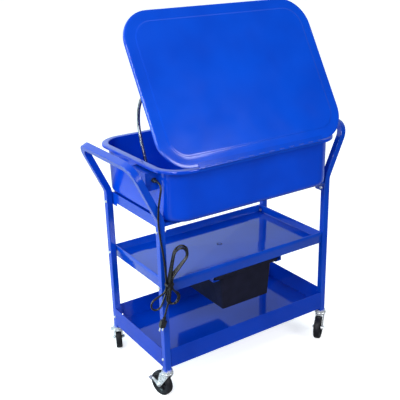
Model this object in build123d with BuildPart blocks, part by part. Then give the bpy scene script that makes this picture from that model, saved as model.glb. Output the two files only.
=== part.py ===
from build123d import *
from math import cos, pi, radians, sin, tan
import os

# Mobile parts washer: an open-fronted cart of square tube posts that carries a deep tray,
# a shallow shelf with a hanging bin, and a lidded wash tub with pump, spigot and power cord.
# Frame: millimetres, +Z up, origin on the floor under the middle of the cart.
# +X and -X are the two handle ends, +Y is the hinge side of the lid, -Y is the user's side.

# ---------------------------------------------------------------- driving dimensions
frame_length = 780.0      # over the posts, along X
frame_depth = 412.0       # over the posts, along Y
post_size = 25.0          # square tube
tube_wall = 1.5
tube_corner = 3.0
sheet = 1.5               # pressed sheet steel
fit_gap = 0.3             # between parts that lie against each other

post_foot_z = 116.0
lower_joint_z = 446.0
upper_joint_z = 679.0
tray_bottom_z = 129.0
tray_height = 75.0
shelf_bottom_z = 428.0
shelf_height = 46.5
shelf_floor_z = 442.0
rail_top_z = 692.5
tub_bottom_z = 693.0
rim_z = 886.4
tub_length = 730.0
tub_depth = 504.0
tub_corner = 85.0
rim_width = 24.0
rim_lip = 10.0
lid_open_angle = 60.0     # from closed, as the stay holds it
handle_lean = 92.5        # how far the crossbar stands out from the posts
handle_root_z = 705.0
handle_bar_z = 903.0

post_x = frame_length / 2 - post_size / 2
post_y = frame_depth / 2 - post_size / 2
inner_x = frame_length / 2 - post_size
inner_y = frame_depth / 2 - post_size

corners = {
    "rear_right": (1, 1),
    "rear_left": (-1, 1),
    "front_right": (1, -1),
    "front_left": (-1, -1),
}

# M6 bolts run along X through the posts, at these heights
bolt_radius = 3.0
bolt_clearance = 0.08
tray_bolt_z = 162.0
shelf_bolt_z = 451.0
rail_bolt_z = 662.0
bolt_y = post_y - 4.0

os.makedirs("parts", exist_ok=True)


def save(builder, name):
    builder.part.label = name
    export_step(builder.part, "parts/" + name + ".step")


def cross_plane(x, y, z):
    """Plane whose normal is +X, with local x along +Y and local y along +Z."""
    return Plane(origin=(x, y, z), x_dir=(0, 1, 0), z_dir=(1, 0, 0))


def tube_section():
    RectangleRounded(post_size, post_size, tube_corner)
    inner = post_size - 2 * tube_wall
    RectangleRounded(inner, inner, tube_corner - tube_wall, mode=Mode.SUBTRACT)


def bolt_hole(side, y, z, reach=60.0):
    """Clear hole for a frame bolt, cut along X through whatever stands at that corner."""
    with Locations((side * frame_length / 2, y, z)):
        Cylinder(bolt_radius + bolt_clearance, 2 * reach, rotation=(0, 90, 0), mode=Mode.SUBTRACT)


# ---------------------------------------------------------------- posts and their couplers
def build_post(name, side_x, side_y, z_low, z_high, bolt_heights):
    with BuildPart() as post:
        with BuildSketch(Plane.XY.offset(z_low)):
            with Locations((side_x * post_x, side_y * post_y)):
                tube_section()
        extrude(amount=z_high - z_low)
        for z in bolt_heights:
            bolt_hole(side_x, side_y * bolt_y, z)
    save(post, name)


for corner, (sx, sy) in corners.items():
    build_post("lower_post_" + corner, sx, sy, post_foot_z, lower_joint_z, [tray_bolt_z])
    build_post("upper_post_" + corner, sx, sy, lower_joint_z + fit_gap, upper_joint_z,
               [shelf_bolt_z, rail_bolt_z])

coupler_size = post_size - 2 * tube_wall - 0.2
coupler_length = 40.0
coupler_starts = (lower_joint_z - 20.0, upper_joint_z - 29.0)
with BuildPart() as couplers:
    for z_start in coupler_starts:
        for sx, sy in corners.values():
            with BuildSketch(Plane.XY.offset(z_start)):
                with Locations((sx * post_x, sy * post_y)):
                    RectangleRounded(coupler_size, coupler_size, tube_corner - tube_wall)
                    RectangleRounded(coupler_size - 4, coupler_size - 4, 1.0, mode=Mode.SUBTRACT)
            extrude(amount=coupler_length)
    for sx, sy in corners.values():
        bolt_hole(sx, sy * bolt_y, shelf_bolt_z)
        bolt_hole(sx, sy * bolt_y, rail_bolt_z)
save(couplers, "post_couplers")

# ---------------------------------------------------------------- push handles
for end, side in (("right", 1), ("left", -1)):
    bar_x = side * (post_x + handle_lean)
    with BuildPart() as handle:
        with BuildLine():
            bend = FilletPolyline(
                (side * post_x, -post_y, upper_joint_z + fit_gap),
                (side * post_x, -post_y, handle_root_z),
                (bar_x, -post_y, handle_bar_z),
                (bar_x, post_y, handle_bar_z),
                (side * post_x, post_y, handle_root_z),
                (side * post_x, post_y, upper_joint_z + fit_gap),
                radius=[60.0, 55.0, 55.0, 60.0],
            )
        with BuildSketch(Plane(origin=bend @ 0, x_dir=(1, 0, 0), z_dir=bend % 0)):
            tube_section()
        sweep()
    save(handle, "handle_" + end)

# ---------------------------------------------------------------- lower tray
post_notch = post_size + 2 * fit_gap


def notched_outline(inset):
    """Plan of a tray that goes round the four posts."""
    Rectangle(frame_length - 2 * inset, frame_depth - 2 * inset)
    side = post_notch + 2 * inset
    for sx, sy in corners.values():
        with Locations((sx * post_x, sy * post_y)):
            Rectangle(side, side, mode=Mode.SUBTRACT)
            with Locations((sx * side / 2, sy * side / 2)):
                Rectangle(side, side, mode=Mode.SUBTRACT)


with BuildPart() as tray:
    with BuildSketch(Plane.XY.offset(tray_bottom_z)):
        notched_outline(0.0)
    extrude(amount=tray_height)
    with BuildSketch(Plane.XY.offset(tray_bottom_z + sheet)):
        notched_outline(sheet)
    extrude(amount=tray_height, mode=Mode.SUBTRACT)
    for sx, sy in corners.values():
        bolt_hole(sx, sy * bolt_y, tray_bolt_z)
save(tray, "lower_tray")

# ---------------------------------------------------------------- middle shelf
shelf_length = 2 * (inner_x - fit_gap)
shelf_depth = 400.0
lip_step = 1.5
lip_band = 17.0
drain_hole_radius = 6.0
with BuildPart() as shelf:
    with BuildSketch(Plane.XY.offset(shelf_bottom_z)):
        Rectangle(shelf_length, shelf_depth)
    extrude(amount=shelf_height)
    with BuildSketch(Plane.XY.offset(shelf_floor_z)):
        Rectangle(shelf_length - 2 * (sheet + lip_step), shelf_depth - 2 * (sheet + lip_step))
    extrude(amount=shelf_height, mode=Mode.SUBTRACT)
    with BuildSketch(Plane.XY.offset(shelf_bottom_z)):
        Rectangle(shelf_length - 2 * sheet, shelf_depth - 2 * sheet)
    extrude(amount=shelf_floor_z - sheet - shelf_bottom_z, mode=Mode.SUBTRACT)
    # the upper band of the long lips is folded in by lip_step
    with BuildSketch(Plane.XY.offset(shelf_bottom_z + shelf_height - lip_band)):
        for sy in (1, -1):
            with Locations((0, sy * shelf_depth / 2)):
                Rectangle(shelf_length, 2 * lip_step)
    extrude(amount=lip_band, mode=Mode.SUBTRACT)
    with BuildSketch(Plane.XY.offset(shelf_floor_z - sheet)):
        Circle(drain_hole_radius)
    extrude(amount=sheet, mode=Mode.SUBTRACT)
    for sx, sy in corners.values():
        bolt_hole(sx, sy * bolt_y, shelf_bolt_z)
save(shelf, "middle_shelf")

# ---------------------------------------------------------------- hanging bin and its rails
bin_wall_width = 238.0
bin_foot_width = 218.0
bin_wall_depth = 360.0
bin_foot_depth = 344.0
bin_rim_width = 312.0
bin_rim_depth = 374.0
bin_rim_z = 405.0
bin_bottom_z = 266.0
bin_sheet = 3.0
rail_length = 376.0
rail_web_x = 160.0
rail_ledge = 26.0

for end, side in (("right", 1), ("left", -1)):
    with BuildPart() as bin_rail:
        rail_low_z = bin_rim_z - fit_gap - sheet
        rail_high_z = shelf_floor_z - sheet - fit_gap
        with BuildSketch(Plane.XZ.offset(-rail_length / 2)):
            with Locations((side * (rail_web_x + sheet / 2), (rail_low_z + rail_high_z) / 2)):
                Rectangle(sheet, rail_high_z - rail_low_z)
            with Locations((side * (rail_web_x - rail_ledge / 2 + sheet / 2), rail_low_z + sheet / 2)):
                Rectangle(rail_ledge + sheet, sheet)
            with Locations((side * (rail_web_x + 12.0), rail_high_z - sheet / 2)):
                Rectangle(24.0, sheet)
        extrude(amount=rail_length)
    save(bin_rail, "bin_rail_" + end)

with BuildPart() as drawer:
    with BuildSketch(Plane.XY.offset(bin_bottom_z)):
        RectangleRounded(bin_foot_width, bin_foot_depth, 14.0)
    with BuildSketch(Plane.XY.offset(bin_rim_z)):
        RectangleRounded(bin_wall_width, bin_wall_depth, 18.0)
    loft()
    with BuildSketch(Plane.XY.offset(bin_rim_z)):
        RectangleRounded(bin_rim_width, bin_rim_depth, 22.0)
    extrude(amount=bin_sheet)
    with BuildSketch(Plane.XY.offset(bin_rim_z)):
        RectangleRounded(bin_rim_width, bin_rim_depth, 22.0)
        RectangleRounded(bin_rim_width - 2 * bin_sheet, bin_rim_depth - 2 * bin_sheet, 19.0,
                         mode=Mode.SUBTRACT)
    extrude(amount=13.0)
    with BuildSketch(Plane.XY.offset(bin_bottom_z + bin_sheet)):
        RectangleRounded(bin_foot_width - 2 * bin_sheet, bin_foot_depth - 2 * bin_sheet, 11.0)
    with BuildSketch(Plane.XY.offset(bin_rim_z + bin_sheet)):
        RectangleRounded(bin_wall_width - 2 * bin_sheet, bin_wall_depth - 2 * bin_sheet, 15.0)
    loft(mode=Mode.SUBTRACT)
save(drawer, "storage_bin")

# ---------------------------------------------------------------- rails under the tub
rail_plate_depth = 396.0
rail_plate_inner_x = 258.0
rail_flange_z = 660.0
rail_tab_z = 648.0
rail_tab_width = 46.0
for end, side in (("right", 1), ("left", -1)):
    with BuildPart() as tub_rail:
        flange_x = inner_x - fit_gap - sheet / 2
        with BuildSketch(Plane.XY.offset(rail_top_z - sheet)):
            with Locations((side * (rail_plate_inner_x + flange_x) / 2, 0)):
                Rectangle(flange_x - rail_plate_inner_x, rail_plate_depth)
        extrude(amount=sheet)
        with BuildSketch(cross_plane(side * flange_x, 0, 0)):
            with Locations((0, (rail_flange_z + 698.0) / 2)):
                Rectangle(rail_plate_depth, 698.0 - rail_flange_z)
            for sy in (1, -1):
                with Locations((sy * (rail_plate_depth - rail_tab_width) / 2,
                                (rail_tab_z + rail_flange_z) / 2)):
                    Rectangle(rail_tab_width, rail_flange_z - rail_tab_z)
        extrude(amount=sheet / 2, both=True)
        # turned-down lips on the two long edges of the plate
        with BuildSketch(Plane.XY.offset(rail_top_z - 12.0)):
            for sy in (1, -1):
                with Locations((side * (rail_plate_inner_x + flange_x) / 2,
                                sy * (rail_plate_depth - sheet) / 2)):
                    Rectangle(flange_x - rail_plate_inner_x, sheet)
        extrude(amount=12.0)
        for sy in (1, -1):
            bolt_hole(side, sy * bolt_y, rail_bolt_z)
    save(tub_rail, "tub_rail_" + end)

# ---------------------------------------------------------------- frame bolts
head_radius = 5.5
head_height = 3.0
nut_height = 5.0
with BuildPart() as bolts:
    for sx, sy in corners.values():
        for z in (tray_bolt_z, shelf_bolt_z, rail_bolt_z):
            outside = sx * (frame_length / 2 + 0.1)
            nut_face = sx * (inner_x - 4.0)
            with BuildSketch(cross_plane(nut_face - sx * nut_height, sy * bolt_y, z)):
                Circle(bolt_radius)
            extrude(amount=outside - nut_face + sx * nut_height)
            with BuildSketch(cross_plane(outside, sy * bolt_y, z)):
                Circle(head_radius)
            extrude(amount=sx * head_height, taper=20)
            with BuildSketch(cross_plane(nut_face, sy * bolt_y, z)):
                RegularPolygon(radius=5.0, side_count=6, major_radius=False)
            extrude(amount=-sx * nut_height)
save(bolts, "frame_bolts")

# ---------------------------------------------------------------- wash tub
drain_radius = 12.0
with BuildPart() as tub:
    with BuildSketch(Plane.XY.offset(tub_bottom_z)):
        RectangleRounded(tub_length, tub_depth, tub_corner)
    extrude(amount=rim_z - tub_bottom_z)
    fillet(tub.edges().group_by(Axis.Z)[0], radius=22.0)
    offset(amount=-sheet, openings=tub.faces().sort_by(Axis.Z)[-1])
    rim_length = tub_length + 2 * rim_width
    rim_depth = tub_depth + 2 * rim_width
    rim_corner = tub_corner + rim_width
    with BuildSketch(Plane.XY.offset(rim_z - sheet)):
        RectangleRounded(rim_length, rim_depth, rim_corner)
        RectangleRounded(tub_length - 2 * sheet, tub_depth - 2 * sheet, tub_corner - sheet,
                         mode=Mode.SUBTRACT)
    extrude(amount=sheet)
    with BuildSketch(Plane.XY.offset(rim_z - rim_lip)):
        RectangleRounded(rim_length, rim_depth, rim_corner)
        RectangleRounded(rim_length - 2 * sheet, rim_depth - 2 * sheet, rim_corner - sheet,
                         mode=Mode.SUBTRACT)
    extrude(amount=rim_lip)
    with BuildSketch(Plane.XY.offset(tub_bottom_z)):
        Circle(drain_radius + 0.1)
    extrude(amount=sheet, mode=Mode.SUBTRACT)
save(tub, "wash_tub")

with BuildPart() as drain:
    with BuildSketch(Plane.XY.offset(tub_bottom_z - 22.0)):
        Circle(drain_radius)
    extrude(amount=22.0 + sheet)
    with BuildSketch(Plane.XY.offset(tub_bottom_z + sheet + 0.1)):
        Circle(19.0)
    extrude(amount=3.0)
    with BuildSketch(Plane.XY.offset(tub_bottom_z + sheet)):
        Circle(drain_radius)
    extrude(amount=1.0)
    with BuildSketch(Plane.XY.offset(tub_bottom_z - 0.1)):
        RegularPolygon(radius=18.0, side_count=6, major_radius=False)
    extrude(amount=-7.0)
save(drain, "drain_plug")

# ---------------------------------------------------------------- piano hinge
hinge_y = rim_depth / 2 + 4.5
hinge_z = 889.0
knuckle_radius = 3.5
knuckle_length = 22.5
knuckle_count = 24
knuckle_gap = 0.4
pin_radius = 1.5
leaf_sheet = 1.2
leaf_reach = 15.0
hinge_length = knuckle_length * knuckle_count
lid_plane = Plane(
    origin=(0, hinge_y, hinge_z),
    x_dir=(1, 0, 0),
    z_dir=(0, sin(radians(lid_open_angle)), cos(radians(lid_open_angle))),
)


def side_view(frame, x):
    """Plane across a part at x, with local x along the frame's y and local y along its z."""
    return Plane(origin=frame.from_local_coords((x, 0, 0)), x_dir=frame.y_dir, z_dir=frame.x_dir)


def build_leaf(name, frame, first, plate_centre, plate_size, web_centre, web_size):
    """One hinge leaf: a plate and every second knuckle, joined by a short web."""
    with BuildPart() as leaf:
        with BuildSketch(side_view(frame, -hinge_length / 2)):
            with Locations(plate_centre):
                Rectangle(*plate_size)
        extrude(amount=hinge_length)
        for index in range(first, knuckle_count, 2):
            x_start = -hinge_length / 2 + index * knuckle_length + knuckle_gap / 2
            with BuildSketch(side_view(frame, x_start)):
                Circle(knuckle_radius)
                with Locations(web_centre):
                    Rectangle(*web_size)
            extrude(amount=knuckle_length - knuckle_gap)
        with BuildSketch(side_view(frame, -hinge_length / 2)):
            Circle(pin_radius + 0.06)
        extrude(amount=hinge_length, mode=Mode.SUBTRACT)
    save(leaf, name)


tub_hinge_frame = Plane(origin=(0, hinge_y, hinge_z), x_dir=(1, 0, 0), z_dir=(0, 0, 1))
leaf_y = -(hinge_y - rim_depth / 2) + fit_gap + leaf_sheet / 2
build_leaf("hinge_tub_leaf", tub_hinge_frame, 0,
           (leaf_y, -8.0), (leaf_sheet, 10.0),
           (leaf_y / 2 - 0.3, -2.6), (-leaf_y + 0.6, leaf_sheet))
leaf_lift = knuckle_radius - leaf_sheet / 2
build_leaf("hinge_lid_leaf", lid_plane, 1,
           (-leaf_reach / 2 - 4.2, leaf_lift), (leaf_reach, leaf_sheet),
           (-2.6, leaf_lift), (5.2, leaf_sheet))

with BuildPart() as hinge_pin:
    with BuildSketch(cross_plane(-hinge_length / 2 + 0.5, hinge_y, hinge_z)):
        Circle(pin_radius)
    extrude(amount=hinge_length - 1.0)
save(hinge_pin, "hinge_pin")

# ---------------------------------------------------------------- lid, in its own tilted frame
lid_length = 790.0
lid_sheet = 1.2
lid_back = -4.5                               # rear edge, measured from the hinge axis
lid_front = -(hinge_y + rim_depth / 2 + 3.5)
lid_depth = lid_back - lid_front
lid_middle = (lid_back + lid_front) / 2
lid_corner = rim_corner + 3.0
lid_under = knuckle_radius - leaf_sheet - 0.2 - lid_sheet
lid_flange = 13.0
flange_stop = -80.0                           # no flange behind this line
with BuildPart() as lid:
    with BuildSketch(lid_plane.offset(lid_under)):
        with Locations((0, lid_middle)):
            RectangleRounded(lid_length, lid_depth, lid_corner)
    extrude(amount=lid_sheet)
    with BuildSketch(lid_plane.offset(lid_under)):
        with Locations((0, lid_middle)):
            RectangleRounded(lid_length, lid_depth, lid_corner)
            RectangleRounded(lid_length - 2 * lid_sheet, lid_depth - 2 * lid_sheet,
                             lid_corner - lid_sheet, mode=Mode.SUBTRACT)
        with Locations((0, flange_stop + 100.0)):
            Rectangle(lid_length + 20.0, 200.0, mode=Mode.SUBTRACT)
    extrude(amount=-lid_flange)
save(lid, "lid")

# ---------------------------------------------------------------- lid stay
stay_x = -335.0
stay_along = 220.0
stay_drop = 16.0
stay_length = 268.0
stay_angle = 71.2         # below the direction of the hinge, measured in the lid's frame
stay_pin_radius = 3.0
stay_bar = 3.0
stay_plane = side_view(lid_plane, stay_x)
with BuildPart() as stay_bracket:
    with BuildSketch(stay_plane.offset(stay_bar + fit_gap)):
        with BuildLine():
            Polyline((-stay_along - 16, lid_under - 0.1), (-stay_along + 16, lid_under - 0.1),
                     (-stay_along + 8, -stay_drop - 7), (-stay_along - 8, -stay_drop - 7), close=True)
        make_face()
    extrude(amount=2.0)
    with BuildSketch(stay_plane.offset(stay_bar + fit_gap)):
        with Locations((-stay_along, lid_under - 1.1)):
            Rectangle(32.0, 2.0)
    extrude(amount=16.0)
    with BuildSketch(stay_plane.offset(-2.0)):
        with Locations((-stay_along, -stay_drop)):
            Circle(stay_pin_radius)
    extrude(amount=stay_bar + fit_gap + 3.0)
save(stay_bracket, "lid_stay_bracket")

arm_turn = radians(stay_angle)
with BuildPart() as stay_arm:
    arm_dir = (cos(arm_turn), -sin(arm_turn))
    arm_tip = (-stay_along + stay_length * arm_dir[0], -stay_drop + stay_length * arm_dir[1])
    with BuildSketch(stay_plane):
        with Locations((-stay_along, -stay_drop), arm_tip):
            Circle(8.0)
        make_hull()
        with Locations((-stay_along, -stay_drop)):
            Circle(stay_pin_radius + 0.06, mode=Mode.SUBTRACT)
    extrude(amount=stay_bar)
    with BuildSketch(stay_plane):
        with Locations(arm_tip):
            Circle(3.0)
    extrude(amount=-9.0)
save(stay_arm, "lid_stay_arm")

# ledge on the tub's end wall that the peg of the stay stands on
peg_y, peg_z = [stay_plane.from_local_coords((arm_tip[0], arm_tip[1], 0)).Y,
                stay_plane.from_local_coords((arm_tip[0], arm_tip[1], 0)).Z]
wall_x = -(tub_length / 2 - sheet)
ledge_depth = stay_x - wall_x - 3.0
with BuildPart() as stay_catch:
    with BuildSketch(cross_plane(wall_x + 0.1, peg_y, peg_z)):
        with Locations((6.0, -12.0)):
            Rectangle(40.0, 16.0)
    extrude(amount=2.0)
    with BuildSketch(cross_plane(wall_x + 0.1, peg_y, peg_z)):
        with Locations((6.0, -3.4 - 1.0)):
            Rectangle(40.0, 2.0)
        with Locations((14.0, 2.0)):
            Rectangle(4.0, 14.0)
    extrude(amount=ledge_depth)
save(stay_catch, "lid_stay_catch")

# ---------------------------------------------------------------- pump and spigot
spigot_x = 285.0
spigot_y = -44.0
spigot_z = 782.0
hose_radius = 6.0
pump_top_z = 760.0
with BuildPart() as pump:
    with BuildSketch(Plane.XY.offset(tub_bottom_z + sheet + 0.1)):
        with Locations((spigot_x, spigot_y)):
            RectangleRounded(92.0, 66.0, 14.0)
    extrude(amount=pump_top_z - tub_bottom_z - sheet)
    fillet(pump.edges().group_by(Axis.Z)[-1], radius=8.0)
    for sy in (1, -1):
        with BuildSketch(Plane.XZ.offset(-spigot_y + sy * 7.4 - 1.5)):
            with Locations((spigot_x, (pump_top_z + spigot_z) / 2 - 2)):
                Rectangle(18.0, spigot_z - pump_top_z + 4)
            with Locations((spigot_x, spigot_z)):
                Circle(9.0)
        extrude(amount=3.0)
    with BuildSketch(Plane.XZ.offset(-spigot_y - 9.0)):
        with Locations((spigot_x, spigot_z)):
            Circle(3.0)
    extrude(amount=18.0)
save(pump, "pump")

hose_start_z = spigot_z + 20.0
with BuildPart() as spigot_base:
    with BuildSketch(Plane.XZ.offset(-spigot_y - 5.4)):
        with Locations((spigot_x, spigot_z)):
            Circle(8.5)
        with Locations((spigot_x, spigot_z + 8.0)):
            Rectangle(13.0, 16.0)
        with Locations((spigot_x, spigot_z)):
            Circle(3.06, mode=Mode.SUBTRACT)
    extrude(amount=10.8)
    with BuildSketch(Plane.XY.offset(spigot_z + 15.0)):
        with Locations((spigot_x, spigot_y)):
            Circle(9.0)
    extrude(amount=5.0)
save(spigot_base, "spigot_base")

hose_route = [
    (spigot_x, spigot_y, hose_start_z + 0.1),
    (spigot_x, spigot_y, 816.0),
    (spigot_x, -56.0, 852.0),
    (spigot_x, -76.0, 902.0),
    (spigot_x, -91.0, 964.0),
    (spigot_x, -84.0, 1022.0),
    (spigot_x, -58.0, 1068.0),
    (spigot_x, -16.0, 1086.0),
    (spigot_x, 16.0, 1056.0),
]


def turn_radii(points):
    """One radius for each corner: 0.45 of the shorter run over the tangent of half the turn."""
    radii = []
    for before, here, after in zip(points, points[1:], points[2:]):
        run_in = Vector(*here) - Vector(*before)
        run_out = Vector(*after) - Vector(*here)
        turn = run_in.get_angle(run_out)
        shorter = min(run_in.length, run_out.length)
        radii.append(0.45 * shorter / tan(radians(turn) / 2))
    return radii


def build_tube(name, points, radius):
    """Round cord or hose along straight runs joined by tangent arcs."""
    radii = turn_radii(points)
    with BuildPart() as tube:
        with BuildLine():
            line = FilletPolyline(*points, radius=radii)
        with BuildSketch(Plane(origin=line @ 0, z_dir=line % 0)):
            Circle(radius)
        sweep()
    length = line.length
    print(name, "radii", [round(r, 1) for r in radii], "length", round(length, 1),
          "volume ratio", round(tube.part.volume / (pi * radius ** 2 * length), 4))
    save(tube, name)
    return length


build_tube("spigot_hose", hose_route, hose_radius)

nozzle_dir = Vector(*hose_route[-1]) - Vector(*hose_route[-2])
with BuildPart() as nozzle:
    with BuildSketch(Plane(origin=hose_route[-1], z_dir=nozzle_dir).offset(0.1)):
        Circle(8.0)
    extrude(amount=12.0)
    with BuildSketch(Plane(origin=hose_route[-1], z_dir=nozzle_dir).offset(12.0)):
        Circle(6.5)
    extrude(amount=16.0, taper=6)
save(nozzle, "spigot_nozzle")

# ---------------------------------------------------------------- switch box on the end wall
box_x0 = tub_length / 2 + 0.2
box_x1 = 409.0
box_y0 = 55.0
box_y1 = 165.0
box_z0 = 806.0
box_z1 = 870.0
cover_sheet = 2.0
box_mid_y = (box_y0 + box_y1) / 2
box_mid_z = (box_z0 + box_z1) / 2
box_width = box_y1 - box_y0
box_tall = box_z1 - box_z0
rocker_y = 100.0
rocker_wide = 22.0
rocker_tall = 28.0
with BuildPart() as switch_box:
    with BuildSketch(cross_plane(box_x0, box_mid_y, box_mid_z)):
        Rectangle(box_width, box_tall)
    extrude(amount=box_x1 - cover_sheet - box_x0)
    with BuildSketch(cross_plane(box_x0 + sheet, box_mid_y, box_mid_z)):
        Rectangle(box_width - 2 * sheet, box_tall - 2 * sheet)
    extrude(amount=box_x1, mode=Mode.SUBTRACT)
    with BuildSketch(Plane.XZ.offset(-box_y1 - 1.0)):
        with Locations((379.0, 842.0)):
            Circle(6.1)
    extrude(amount=6.0, mode=Mode.SUBTRACT)
save(switch_box, "switch_box")

with BuildPart() as box_cover:
    with BuildSketch(cross_plane(box_x1 - cover_sheet + 0.1, box_mid_y, box_mid_z)):
        Rectangle(box_width, box_tall)
        with Locations((rocker_y - box_mid_y, 0)):
            Rectangle(rocker_wide + 1.0, rocker_tall + 1.0, mode=Mode.SUBTRACT)
    extrude(amount=cover_sheet)
save(box_cover, "switch_box_cover")

rocker_axis_x = box_x1 - 3.0
with BuildPart() as rocker:
    with BuildSketch(Plane.XZ.offset(-rocker_y - rocker_wide / 2)):
        with BuildLine():
            Polyline((rocker_axis_x - 5, box_mid_z - 9), (rocker_axis_x + 5.0, box_mid_z - 12.5),
                     (rocker_axis_x + 6.0, box_mid_z), (rocker_axis_x + 9.0, box_mid_z + 11.0),
                     (rocker_axis_x - 5, box_mid_z + 9), close=True)
        make_face()
    extrude(amount=rocker_wide)
save(rocker, "power_switch")

# ---------------------------------------------------------------- power cord, plug and ties
cord_radius = 3.5
gland_x = 379.0
gland_z = 842.0
gland_end_y = box_y1 + 22.0
with BuildPart() as gland:
    with BuildSketch(Plane.XZ.offset(-box_y1 - 0.2)):
        with Locations((gland_x, gland_z)):
            RegularPolygon(radius=9.0, side_count=6)
    extrude(amount=-7.0)
    with BuildSketch(Plane.XZ.offset(-box_y1 - 7.0)):
        with Locations((gland_x, gland_z)):
            Circle(7.5)
    extrude(amount=-15.0, taper=10)
    with BuildSketch(Plane.XZ.offset(-box_y1 + 4.0)):
        with Locations((gland_x, gland_z)):
            Circle(6.0)
    extrude(amount=-5.0)
save(gland, "cord_gland")

cord_y = 226.0
lane = 7.4                # between neighbouring strands
waist_x, waist_z = 371.0, 478.0
drop_route = [
    (gland_x, gland_end_y, gland_z),
    (gland_x, gland_end_y + 13.0, gland_z),
    (379.5, 211.0, 835.0),
    (380.5, 216.0, 822.0),
    (385.0, 215.5, 799.0),
    (393.0, 214.5, 757.0),
    (396.0, 213.0, 704.0),
    (390.0, 213.0, 645.0),
    (381.0, 212.5, 585.0),
    (378.0, 213.5, 540.0),
    (waist_x + lane, 218.0, 504.0),
]
drop_length = build_tube("cord_drop", drop_route, cord_radius)

hank_half = lane + cord_radius + 0.1
waist_wide = 2 * (lane + cord_radius) + 0.6
with BuildPart() as hank:
    with BuildSketch(Plane.XZ.offset(-cord_y)):
        with Locations((waist_x, waist_z + 13.0)):
            Circle(12.0)
        with Locations((314.0, 576.0)):
            Circle(34.0)
        with Locations((323.5, 576.0)):
            Circle(32.0)
        make_hull()
    extrude(amount=hank_half, both=True)
    with BuildSketch(Plane.XZ.offset(-cord_y)):
        with Locations((waist_x, waist_z)):
            Rectangle(waist_wide, 22.0)
    extrude(amount=hank_half, both=True)
    with BuildSketch(Plane.XZ.offset(-cord_y)):
        with Locations((waist_x, waist_z - 12.0)):
            Circle(11.5)
        with Locations((420.5, 411.5)):
            Circle(25.5)
        with Locations((350.0, 416.0)):
            Circle(25.5)
        make_hull()
    extrude(amount=hank_half, both=True)
save(hank, "cord_hank")

tail_route = [(385.5, cord_y + 5, 388.5), (389.0, cord_y - 1, 372.0), (394.0, cord_y - 4, 352.0)]
tail_length = build_tube("cord_tail", tail_route, cord_radius)
plug_axis = (Vector(*tail_route[-1]) - Vector(*tail_route[-2])).normalized()
plug_plane = Plane(origin=tail_route[-1], x_dir=(0, 1, 0), z_dir=plug_axis)

with BuildPart() as ties:
    with BuildSketch(Plane.XY.offset(waist_z - 4.0)):
        with Locations((waist_x, cord_y)):
            RectangleRounded(waist_wide + 4.0, 2 * hank_half + 4.0, 4.0)
            Rectangle(waist_wide + 0.3, 2 * hank_half + 0.3, mode=Mode.SUBTRACT)
    extrude(amount=8.0)
save(ties, "cord_tie")

with BuildPart() as plug:
    with BuildSketch(plug_plane.offset(0.1)):
        Circle(6.5)
    extrude(amount=14.0)
    with BuildSketch(plug_plane.offset(12.0)):
        RectangleRounded(18.0, 22.0, 4.0)
    extrude(amount=26.0)
save(plug, "mains_plug")

with BuildPart() as blades:
    with BuildSketch(plug_plane.offset(38.2)):
        with Locations((0, 6.3), (0, -6.3)):
            Rectangle(6.4, 1.6)
    extrude(amount=16.0)
save(blades, "plug_blades")

# ---------------------------------------------------------------- casters
wheel_radius = 47.5
wheel_width = 26.0
trail = 31.0
stem_radius = 5.0
axle_radius = 4.0
crown_top_z = 108.4
crown_radius = 23.0
leg_inner = wheel_width / 2 + 1.2
leg_sheet = 2.5
caster_turn = {
    "rear_right": -77.0,
    "rear_left": 35.0,
    "front_right": -115.0,
    "front_left": -40.0,
}

with BuildPart() as stems:
    for sx, sy in corners.values():
        with BuildSketch(Plane.XY.offset(crown_top_z + 0.6)):
            with Locations((sx * post_x, sy * post_y)):
                Circle(21.0)
        extrude(amount=post_foot_z - crown_top_z - 0.8)
        with BuildSketch(Plane.XY.offset(98.5)):
            with Locations((sx * post_x, sy * post_y)):
                Circle(stem_radius)
        extrude(amount=52.0)
        with BuildSketch(Plane.XY.offset(post_foot_z + 1.0)):
            with Locations((sx * post_x, sy * post_y)):
                RectangleRounded(coupler_size, coupler_size, tube_corner - tube_wall)
        extrude(amount=34.0)
save(stems, "caster_stems")


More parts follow.
